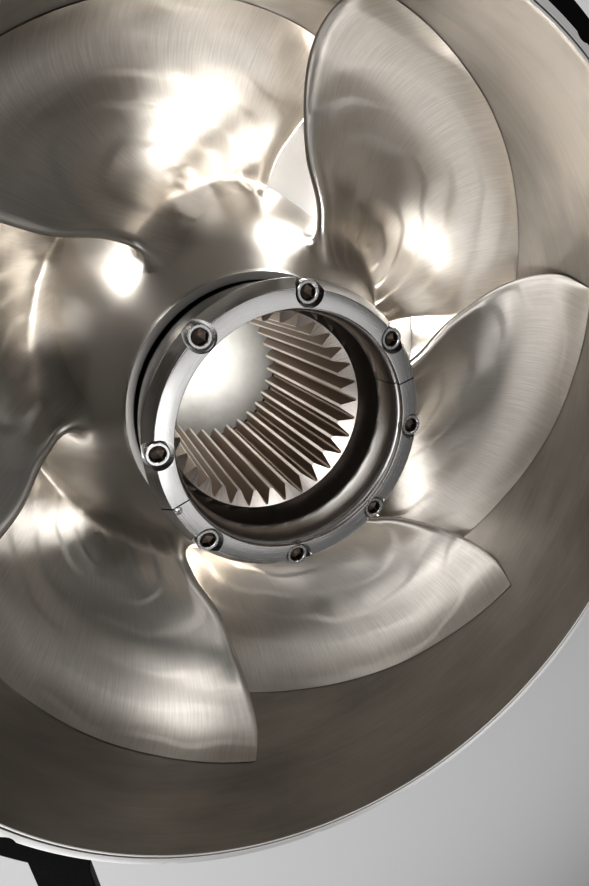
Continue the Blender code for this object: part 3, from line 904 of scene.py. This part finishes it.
def blade_skin(turn):
    """One blade's skin, turned to its place, with its chord and span kept as a UV map."""
    rows, spans, chords = blade_skin_rows(bpy.context.scene.impeller_rotor)
    last = len(chords)
    turning = Matrix.Rotation(math.radians(turn), 3, "Z")
    bm = bmesh.new()
    rings = [[bm.verts.new(turning @ Vector(place)) for place in row] for row in rows]
    count = len(rings[0])
    for ring, following in zip(rings, rings[1:]):
        for i in range(count):
            j = (i + 1) % count
            bm.faces.new((ring[i], ring[j], following[j], following[i]))
    tip = rings[-1]
    bm.faces.new((tip[0], tip[1], tip[-1]))
    for i in range(1, last - 2):
        bm.faces.new((tip[i], tip[i + 1], tip[count - i - 1], tip[count - i]))
    bm.faces.new((tip[last - 2], tip[last - 1], tip[last]))
    bm.verts.index_update()
    around = np.concatenate([chords, chords[-2:0:-1]])
    uv = bm.loops.layers.uv.new("chord_span")
    for face in bm.faces:
        for corner in face.loops:
            row, column = divmod(corner.vert.index, count)
            corner[uv].uv = (around[column], spans[row, column])
    return finish_mesh("blade", bm, 40.0)


class BuildBlades(bpy.types.Operator):
    """Six blades with round noses and filleted roots"""
    bl_idname = "impeller.build_blades"
    bl_label = "Blades"

    def execute(self, context):
        steel = blade_steel()
        for number in range(1, BLADES + 1):
            blade = add_object(f"blade_skin_{number}", blade_skin(BLADE_PITCH * (2 - number)), steel)
            place_piece(blade, "impeller", "blade_steel", f"blade_{number}")
        return {"FINISHED"}


class BuildHub(bpy.types.Operator):
    """Flared hub with its collar and counterbore"""
    bl_idname = "impeller.build_hub"
    bl_label = "Hub"

    def execute(self, context):
        sides = context.scene.impeller_rotor.hub_sides
        outline = [(BORE_RADIUS, HUB_BOTTOM)] + profile_points(HUB_OUTSIDE, 90)
        outline += rounded([(COLLAR_RADIUS, COLLAR_TOP, 0.0008), (COLLAR_MOUTH_RADIUS, COLLAR_TOP, 0.0008),
                            (COLLAR_MOUTH_RADIUS, COUNTERBORE_FLOOR, 0.0)])[:-1]
        outline += [(COLLAR_MOUTH_RADIUS, COUNTERBORE_FLOOR), (BORE_RADIUS, COUNTERBORE_FLOOR)]
        hub = add_object("hub_skin", turned_mesh("hub_skin", outline, sides), hub_steel())
        hub.data.materials.append(collar_steel())
        hub.data.materials.append(dark_steel())
        for face in hub.data.polygons:
            middle = face.center
            inside = math.hypot(middle.x, middle.y) < COLLAR_MOUTH_RADIUS + 0.0001
            # The counterbore and bore walls get the near-black steel: painted shade in the gap round the
            # clamp ring.
            if inside and middle.z < COLLAR_TOP - 0.001:
                face.material_index = 2
            elif middle.z > HUB_OUTSIDE[-1][0]:
                face.material_index = 1
        place_piece(hub, "impeller", "blade_steel", "hub")
        return {"FINISHED"}


class BuildCasing(bpy.types.Operator):
    """Turned casing, its notched rim ring and its outlet flange"""
    bl_idname = "impeller.build_casing"
    bl_label = "Casing"

    def execute(self, context):
        sizes = context.scene.impeller_casing
        steel = casing_steel()
        bright = rim_steel()
        neck = rounded([(CASING_OUTSIDE[-1][1], NECK_BOTTOM, 0.001),
                        (NECK_BOTTOM_RADIUS, NECK_BOTTOM, 0.0005), (NECK_TOP_RADIUS, RIM_HEIGHT, RIM_EDGE),
                        (RIM_INNER_RADIUS, RIM_HEIGHT, 0.0005),
                        (RIM_INNER_RADIUS, NECK_INNER_BOTTOM, 0.0)])[:-1]
        bore = profile_points(CASING_BORE, 90)
        outside = profile_points(CASING_OUTSIDE, 60)
        outline = outside[:-1] + neck + list(reversed(bore[:-1]))
        casing = add_object("casing_wall", turned_mesh("casing_wall", outline, sizes.sides), steel)
        casing.data.materials.append(bright)
        # The top faces take the pale rim steel, whose colour partly paints the room's sheen.
        for face in casing.data.polygons:
            face.material_index = int(face.center.z > RIM_HEIGHT - RIM_EDGE)
        place_piece(casing, "casing", "casing_steel", "casing_shell")
        rim = rounded([(NECK_BOTTOM_RADIUS + RIM_RING_GAP, RIM_RING_BOTTOM, 0.0003),
                       (RIM_RADIUS, RIM_RING_BOTTOM, RIM_EDGE), (RIM_RADIUS, RIM_HEIGHT, RIM_EDGE),
                       (NECK_TOP_RADIUS + RIM_RING_GAP, RIM_HEIGHT, 0.0004)])
        ring = add_object("rim_band", turned_mesh("rim_band", rim, sizes.sides), bright)
        half = sizes.notch_chord / 2
        reach = (half**2 + sizes.notch_depth**2) / (2 * sizes.notch_depth)
        bars = bmesh.new()
        for number in range(sizes.notches):
            angle = sizes.first_notch + 360.0 * number / sizes.notches
            place = polar(RIM_RADIUS - sizes.notch_depth + reach, angle, 0.0)
            round_bar(bars, reach, RIM_RING_BOTTOM - 0.01, RIM_HEIGHT + 0.01, place, 64)
        cut_away(ring, bars)
        place_piece(ring, "casing", "casing_steel", "rim_ring")
        flange_inner_radius = CASING_OUTSIDE[0][1] + FLANGE_GAP
        flange = rounded([(flange_inner_radius, 0.0, 0.0), (OUTLET_FLANGE_RADIUS, 0.0, 0.0015),
                          (OUTLET_FLANGE_RADIUS, OUTLET_FLANGE_TOP, 0.0015),
                          (flange_inner_radius, OUTLET_FLANGE_TOP, 0.0)])
        plate = add_object("outlet_plate", turned_mesh("outlet_plate", flange, sizes.sides // 2), steel)
        bars = bmesh.new()
        circle = (CASING_OUTSIDE[0][1] + OUTLET_FLANGE_RADIUS) / 2
        for number in range(sizes.bolt_holes):
            place = polar(circle, 360.0 * (number + 0.5) / sizes.bolt_holes, 0.0)
            round_bar(bars, sizes.bolt_hole_radius, -0.01, OUTLET_FLANGE_TOP + 0.01, place)
        cut_away(plate, bars)
        place_piece(plate, "casing", "casing_steel", "outlet_flange")
        return {"FINISHED"}


class BuildSleeve(bpy.types.Operator):
    """Splined sleeve, its end cover and the black lining ring"""
    bl_idname = "impeller.build_sleeve"
    bl_label = "Splined bore"

    def execute(self, context):
        pitch = 360.0 / TEETH
        foot_angle = pitch / 2 - TOOTH_ROOT_HALF_ANGLE
        flank = [(TOOTH_ROOT_RADIUS, foot_angle + TOOTH_EDGE_ANGLE),
                 (TOOTH_ROOT_RADIUS - TOOTH_EDGE, foot_angle),
                 (TOOTH_TIP_RADIUS + TOOTH_EDGE, TOOTH_TIP_HALF_ANGLE),
                 (TOOTH_TIP_RADIUS, TOOTH_TIP_HALF_ANGLE - TOOTH_EDGE_ANGLE)]
        tooth = [(radius, -angle) for radius, angle in flank] + flank[::-1]
        loop = [(radius, number * pitch + angle) for number in range(TEETH) for radius, angle in tooth]
        rings = [[(SLEEVE_RADIUS, angle, SLEEVE_BOTTOM) for _, angle in loop],
                 [(SLEEVE_RADIUS, angle, SLEEVE_TOP) for _, angle in loop],
                 [(LEAD_IN_RADIUS, angle, SLEEVE_TOP) for _, angle in loop],
                 [(radius, angle, SLEEVE_TOP - (LEAD_IN_RADIUS - radius)) for radius, angle in loop],
                 [(radius, angle, SLEEVE_BOTTOM) for radius, angle in loop]]
        bm = bmesh.new()
        rings = [[bm.verts.new(polar(*place)) for place in ring] for ring in rings]
        for ring, following in zip(rings, rings[1:] + rings[:1]):
            for i in range(len(loop)):
                j = (i + 1) % len(loop)
                bm.faces.new((ring[i], ring[j], following[j], following[i]))
        sleeve = add_object("spline_teeth", finish_mesh("spline_teeth", bm, 25.0), spline_steel())
        sleeve.data.materials.append(land_steel())
        for face in sleeve.data.polygons:
            radius = math.hypot(face.center.x, face.center.y)
            entry_bottom = SLEEVE_TOP - LEAD_IN_RADIUS + TOOTH_TIP_RADIUS
            entry = entry_bottom < face.center.z and radius < LEAD_IN_RADIUS
            if radius < TOOTH_TIP_RADIUS + TOOTH_EDGE / 2 or entry:
                face.material_index = 1
        place_piece(sleeve, "impeller", "spline_steel", "splined_sleeve")
        outline = [(COVER_CENTRE_RADIUS, COVER_BOTTOM), (SLEEVE_RADIUS, COVER_BOTTOM),
                   (SLEEVE_RADIUS, COVER_TOP), (COVER_CENTRE_RADIUS, COVER_TOP)]
        cover = add_object("bore_end_disc", turned_mesh("bore_end_disc", outline, 144), cover_steel())
        place_piece(cover, "impeller", "bright_steel", "bore_end_cover")
        bottom = SLEEVE_TOP + PIECE_GAP
        top = LINING_TOP - PIECE_GAP
        outline = rounded([(LEAD_IN_RADIUS, bottom, 0.0004), (SLEEVE_RADIUS, bottom, 0.0),
                           (SLEEVE_RADIUS, top, 0.0), (LINING_TOP_RADIUS, top, 0.0004)])
        mesh = turned_mesh("black_sleeve_lining", outline, 192)
        lining = add_object("black_sleeve_lining", mesh, black_lining())
        place_piece(lining, "impeller", "black_lining", "lining_ring")
        return {"FINISHED"}


def clamp_ring_outline(sizes):
    """The clamp ring's section with its rounded bead inside, as (radius, height)."""
    bead = []
    for step in range(17):
        angle = math.pi * step / 16
        height = LINING_TOP + (BEAD_TOP - LINING_TOP) * (1 + math.cos(angle)) / 2
        bead.append((FACE_INNER_RADIUS - sizes.bead_bulge * math.sin(angle), height))
    foot = COUNTERBORE_FLOOR + PIECE_GAP
    corners = [(BORE_RADIUS, foot, 0.0), (FOOT_RADIUS, foot, 0.0), (FOOT_RADIUS, FOOT_HEIGHT, 0.002),
               (WAIST_RADIUS, WAIST_HEIGHT, 0.002), (SHOULDER_RADIUS, SHOULDER_HEIGHT, 0.0012),
               (FACE_OUTER_RADIUS, FACE_HEIGHT, 0.0008), (FACE_INNER_RADIUS, FACE_HEIGHT, 0.0006),
               (FACE_INNER_RADIUS, GROOVE_TOP, 0.0003), (GROOVE_RADIUS, GROOVE_BOTTOM, 0.0004)]
    return rounded(corners) + bead + [(BORE_RADIUS, LINING_TOP)]


def screw_mesh(sizes):
    """A socket-head screw with its top at the origin: knurled side, rounded edge and hexagon socket."""
    sides = 96
    apothem = sizes.socket_radius * math.cos(math.radians(30))
    radius = sizes.head_radius

    def ring(reach, height, knurled=False, hexagonal=False):
        verts = []
        for i in range(sides):
            degrees = 360.0 * i / sides
            here = reach
            if knurled:
                here = reach - KNURL_DEPTH * (i % 3 == 0)
            if hexagonal:
                here = reach / math.cos(math.radians(degrees % 60 - 30))
            verts.append(bm.verts.new(polar(here, degrees, height)))
        return verts

    bm = bmesh.new()
    knurl = [ring(radius, -SCREW_HEAD_HEIGHT, knurled=True), ring(radius, -0.0016, knurled=True)]
    edge = [ring(radius - 0.0003, -0.0007), ring(radius - 0.0011, 0.0)]
    mouth = [ring(sizes.socket_radius + 0.0006, 0.0), ring(sizes.socket_radius, -0.0006)]
    socket = [ring(apothem, -0.0012, hexagonal=True), ring(apothem, -sizes.socket_depth, hexagonal=True)]
    rings = knurl + edge + mouth + socket + [ring(0.0004, -sizes.socket_depth - 0.0022)]
    for first, second in zip(rings, rings[1:]):
        for i in range(sides):
            j = (i + 1) % sides
            bm.faces.new((first[i], first[j], second[j], second[i]))
    bm.faces.new(rings[0])
    bm.faces.new(rings[-1])
    return finish_mesh("socket_screw", bm, 28.0)


class BuildClampRing(bpy.types.Operator):
    """Split clamp ring with its socket screws and locating pin"""
    bl_idname = "impeller.build_clamp_ring"
    bl_label = "Clamp ring"

    def execute(self, context):
        sizes = context.scene.impeller_clamp
        outline = clamp_ring_outline(sizes)
        bright = ring_steel()
        shade_paint = dark_steel()
        for number in (1, 2):
            start = SPLIT_ANGLES[number - 1]
            end = SPLIT_ANGLES[number % 2] + 360.0 * (number - 1)
            gap = math.degrees(SPLIT_HALF_GAP / FACE_INNER_RADIUS)
            mesh = turned_mesh("clamp_half", outline, 150, start + gap, end - gap, 30.0)
            half = add_object(f"clamp_half_{number}", mesh, bright)
            mesh.materials.append(shade_paint)
            # The flat ends at the splits get the near-black steel: painted shade in the split gap.
            for face in mesh.polygons:
                face.material_index = int(len(face.vertices) > 4)
            bars = bmesh.new()
            for angle in SCREW_ANGLES:
                if (SPLIT_ANGLES[0] < angle < SPLIT_ANGLES[1]) == (number == 1):
                    place = polar(SCREW_CIRCLE_RADIUS, angle, 0.0)
                    bottom = SCREW_TOP_HEIGHT - SCREW_HEAD_HEIGHT - PIECE_GAP
                    round_bar(bars, sizes.pocket_radius, bottom, FACE_HEIGHT + 0.01, place, 64)
            if number == 2:
                place = polar(PIN_CIRCLE_RADIUS, PIN_ANGLE, 0.0)
                bottom = FACE_HEIGHT - PIN_HOLE_DEPTH
                round_bar(bars, PIN_RADIUS + PIN_HOLE_GAP, bottom, FACE_HEIGHT + 0.01, place)
            cut_away(half, bars, 30.0)
            place_piece(half, "impeller", "bright_steel", f"clamp_ring_half_{number}")
        bottom = -PIN_HOLE_DEPTH - 0.001
        outline = [(PIN_CENTRE_RADIUS, bottom), (PIN_RADIUS, bottom)]
        for turn in np.linspace(0.0, 0.45 * math.pi, 6):
            outline.append((PIN_RADIUS * math.cos(turn), PIN_DOME_BASE + PIN_DOME_RISE * math.sin(turn)))
        pin = add_object("locating_pin", turned_mesh("locating_pin", outline, 32), bright)
        pin.location = polar(PIN_CIRCLE_RADIUS, PIN_ANGLE, FACE_HEIGHT)
        place_piece(pin, "impeller", "bright_steel")
        mesh = screw_mesh(sizes)
        mesh.materials.append(screw_steel())
        mesh.materials.append(shade_paint)
        mesh.materials.append(socket_steel())
        # Socket walls get the near-black steel and socket bottoms the dark brown steel: painted shade in the
        # deep socket.
        for face in mesh.polygons:
            reach = math.hypot(face.center.x, face.center.y)
            if reach < sizes.socket_radius - 0.0002 and face.center.z > 0.001 - SCREW_HEAD_HEIGHT:
                face.material_index = 1 if face.center.z > -sizes.socket_depth else 2
        for number, angle in enumerate(SCREW_ANGLES, 1):
            screw = add_object(f"socket_screw_{number}", mesh)
            screw.location = polar(SCREW_CIRCLE_RADIUS, angle, SCREW_TOP_HEIGHT)
            screw.rotation_euler.z = math.radians(SCREW_TURN * number)
            place_piece(screw, "impeller", "screw_steel", f"clamp_screw_{number}")
        return {"FINISHED"}


class BuildBrackets(bpy.types.Operator):
    """Black brackets of the display stand beside the rim"""
    bl_idname = "impeller.build_brackets"
    bl_label = "Stand brackets"

    def execute(self, context):
        black = black_paint()
        for number, (first, last, has_arm) in enumerate(BRACKETS, 1):
            steps = 24
            angles = [first + (last - first) * i / steps for i in range(steps + 1)]
            corners = [polar(BRACKET_INNER_RADIUS, angle, 0) for angle in angles]
            outer = [polar(BRACKET_RADIUS, angle, 0) for angle in reversed(angles)]
            if has_arm:
                east = Vector((BRACKET_ARM_EAST, -math.sqrt(BRACKET_RADIUS**2 - BRACKET_ARM_EAST**2), 0))
                west = Vector((BRACKET_ARM_WEST, -math.sqrt(BRACKET_RADIUS**2 - BRACKET_ARM_WEST**2), 0))
                outer = [corner for corner in outer if corner.x < BRACKET_ARM_WEST - 0.002]
                outer = [east, Vector((BRACKET_ARM_EAST, BRACKET_ARM_END, 0)),
                         Vector((BRACKET_ARM_WEST, BRACKET_ARM_END, 0)), west] + outer
            bm = bmesh.new()
            lift = Vector((0, 0, BRACKET_BOTTOM))
            bottom = bm.faces.new([bm.verts.new(corner + lift) for corner in corners + outer])
            raised = bmesh.ops.extrude_face_region(bm, geom=[bottom])["geom"]
            lift.z = BRACKET_TOP - BRACKET_BOTTOM
            bmesh.ops.translate(bm, vec=lift, verts=[v for v in raised if isinstance(v, bmesh.types.BMVert)])
            bracket = add_object(f"stand_arm_{number}", finish_mesh("stand_arm", bm), black)
            bevel = bracket.modifiers.new("edge", "BEVEL")
            bevel.width = 0.001
            bevel.segments = 2
            place_piece(bracket, "casing", "black_steel", f"stand_bracket_{number}")
        return {"FINISHED"}


def panel_light(name, place, aim, width, height, brightness):
    """A flat light of an even brightness at a place, facing another, hidden from the camera."""
    data = bpy.data.lights.new(name, "AREA")
    data.shape = "RECTANGLE"
    data.size = width
    data.size_y = height
    data.energy = brightness * math.pi * width * height
    light = bpy.data.objects.new(name, data)
    light.location = place
    light.rotation_euler = (aim - place).to_track_quat("-Z", "Y").to_euler()
    light.visible_camera = False
    bpy.context.scene.collection.objects.link(light)
    return light


def soft_light(name, azimuth, elevation, width, height, brightness):
    """A soft panel light in the room, facing the rotor."""
    aim = Vector(SOFT_PANEL_AIM)
    level = math.cos(math.radians(elevation)) * SOFT_PANEL_DISTANCE
    rise = math.sin(math.radians(elevation)) * SOFT_PANEL_DISTANCE
    return panel_light(name, aim + polar(level, azimuth, rise), aim, width, height, brightness)


class BuildStage(bpy.types.Operator):
    """Pale floor, soft lights and the camera"""
    bl_idname = "impeller.build_stage"
    bl_label = "Stage"

    def execute(self, context):
        look = context.scene.impeller_stage
        bm = bmesh.new()
        bmesh.ops.create_grid(bm, x_segments=1, y_segments=1, size=FLOOR_HALF_SIZE)
        finish = Finish("pale_floor", tuple(look.floor_colour), 0.0)
        grain = finish.noise(finish.place, scale=60.0, detail=3.0)
        finish.rough(grain, 0.5, 0.7)
        floor = add_object("floor", finish_mesh("floor", bm), finish.material)
        floor.location.z = FLOOR_HEIGHT

        picture = context.scene.view_settings
        picture.view_transform = "Standard"
        picture.exposure = look.exposure
        picture.gamma = look.gamma
        world = bpy.data.worlds.new("studio")
        context.scene.world = world
        world.use_nodes = True
        sky = world.node_tree.nodes["Background"]
        sky.inputs["Color"].default_value = (0.9, 0.9, 0.9, 1.0)
        sky.inputs["Strength"].default_value = look.sky_strength
        for panel in SOFT_PANELS:
            soft_light(*panel)
        for number, (radius, azimuth, height, size, brightness) in enumerate(CHANNEL_LAMPS, 1):
            aim = Vector((0, 0, height + CHANNEL_LAMP_RISE))
            place = polar(radius, azimuth, height)
            panel_light(f"channel_lamp_{number}", place, aim, size, size, brightness)
        for number, (azimuth, brightness) in enumerate(COLLAR_LAMPS, 1):
            place = polar(COLLAR_LAMP_RADIUS, azimuth, COLLAR_TOP)
            aim = polar(2 * COLLAR_LAMP_RADIUS, azimuth, COLLAR_TOP - 0.03)
            panel_light(f"collar_lamp_{number}", place, aim, *COLLAR_LAMP_SIZE, brightness)
        for number, (azimuth, brightness) in enumerate(OUTLET_PANELS, 1):
            place = polar(OUTLET_PANEL_RADIUS, azimuth, OUTLET_PANEL_HEIGHT)
            aim = place + Vector((0, 0, 1))
            panel = panel_light(f"outlet_panel_{number}", place, aim, *OUTLET_PANEL_SIZE, brightness)
            panel.rotation_euler = (math.pi, 0.0, math.radians(azimuth + 90.0))
        for number, (place, aim, beam, brightness) in enumerate(ACCENT_LAMPS, 1):
            name = f"accent_lamp_{number}"
            lamp = panel_light(name, polar(*place), polar(*aim), *ACCENT_LAMP_SIZE, brightness)
            lamp.data.spread = math.radians(beam)
        height, size = BORE_LAMP
        floor_middle = Vector((0, 0, 0))
        panel_light("bore_lamp", Vector((0, 0, height)), floor_middle, size, size, look.bore_brightness)
        height, size = BORE_RISE_LAMP
        overhead = Vector((0, 0, 0.5))
        panel_light("bore_rise", Vector((0, 0, height)), overhead, size, size, look.rise_brightness)
        for number in range(BLADES):
            lamp = bpy.data.lights.new(f"under_lamp_{number + 1}", "POINT")
            lamp.energy = look.under_power
            lamp.shadow_soft_size = 0.02
            holder = bpy.data.objects.new(lamp.name, lamp)
            azimuth = BLADE_PITCH * number + UNDER_LAMP_FIRST_ANGLE
            holder.location = polar(UNDER_LAMP_RADIUS, azimuth, UNDER_LAMP_HEIGHT)
            holder.visible_camera = False
            context.scene.collection.objects.link(holder)

        camera = bpy.data.cameras.new("camera")
        camera.lens = CAMERA_LENS
        camera.shift_y = CAMERA_SHIFT_Y
        camera.clip_start = 0.01
        holder = bpy.data.objects.new("camera", camera)
        holder.location = CAMERA_PLACE
        holder.rotation_euler = [math.radians(turn) for turn in CAMERA_TURN]
        context.scene.collection.objects.link(holder)
        context.scene.camera = holder
        return {"FINISHED"}


BUILDERS = (BuildCasing, BuildBrackets, BuildHub, BuildBlades, BuildSleeve, BuildClampRing, BuildStage)
SETTINGS = {"impeller_rotor": RotorSizes, "impeller_casing": CasingSizes, "impeller_clamp": ClampSizes,
            "impeller_finishes": Finishes, "impeller_stage": StageLook}


class ImpellerPanel(bpy.types.Panel):
    """Sizes, colours and build buttons of the impeller"""
    bl_idname = "VIEW3D_PT_impeller"
    bl_label = "Impeller"
    bl_space_type = "VIEW_3D"
    bl_region_type = "UI"
    bl_category = "Impeller"

    def draw(self, context):
        for name, group in SETTINGS.items():
            box = self.layout.box()
            for prop in group.__annotations__:
                box.prop(getattr(context.scene, name), prop)
        for builder in BUILDERS:
            self.layout.operator(builder.bl_idname)


def register():
    for group in SETTINGS.values():
        bpy.utils.register_class(group)
    for name, group in SETTINGS.items():
        setattr(bpy.types.Scene, name, PointerProperty(type=group))
    for item in (*BUILDERS, ImpellerPanel):
        bpy.utils.register_class(item)


def unregister():
    for item in (ImpellerPanel, *reversed(BUILDERS)):
        bpy.utils.unregister_class(item)
    for name in SETTINGS:
        delattr(bpy.types.Scene, name)
    for group in reversed(SETTINGS.values()):
        bpy.utils.unregister_class(group)


def main():
    register()
    for builder in BUILDERS:
        family, action = builder.bl_idname.split(".")
        getattr(getattr(bpy.ops, family), action)()


if __name__ == "__main__":
    main()
